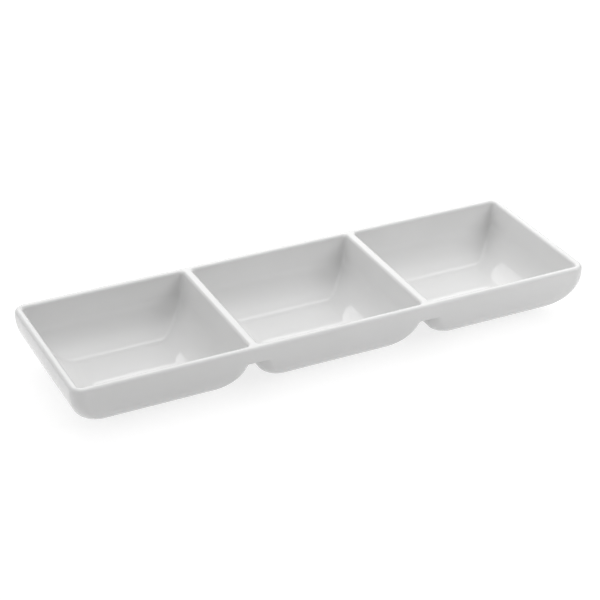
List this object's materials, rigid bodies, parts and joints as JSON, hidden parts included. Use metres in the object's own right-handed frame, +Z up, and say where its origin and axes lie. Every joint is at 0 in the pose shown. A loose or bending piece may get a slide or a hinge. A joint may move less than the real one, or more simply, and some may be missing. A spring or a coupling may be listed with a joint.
{
  "type": "divided serving bowl",
  "caption": "Long white glazed porcelain serving dish: a row of round-bottomed rectangular wells parted by low dividers under a common rounded rim, each well on a foot ring.",
  "frame": {"origin": "on the table, under the middle of the dish", "axes": "+X along the dish to its right end, +Y from front to back, +Z up out of the wells"},
  "size_m": [0.36, 0.1168, 0.0386],
  "materials": {
    "white_glaze": "clear gloss glaze over white porcelain",
    "bare_foot": "unglazed, ground smooth"
  },
  "bodies": {
    "root": {"rim": "white_glaze", "left_divider": "white_glaze", "right_divider": "white_glaze", "left_well": "white_glaze", "middle_well": "white_glaze", "right_well": "white_glaze", "left_foot": "bare_foot", "middle_foot": "bare_foot", "right_foot": "bare_foot"}
  },
  "joints": []
}
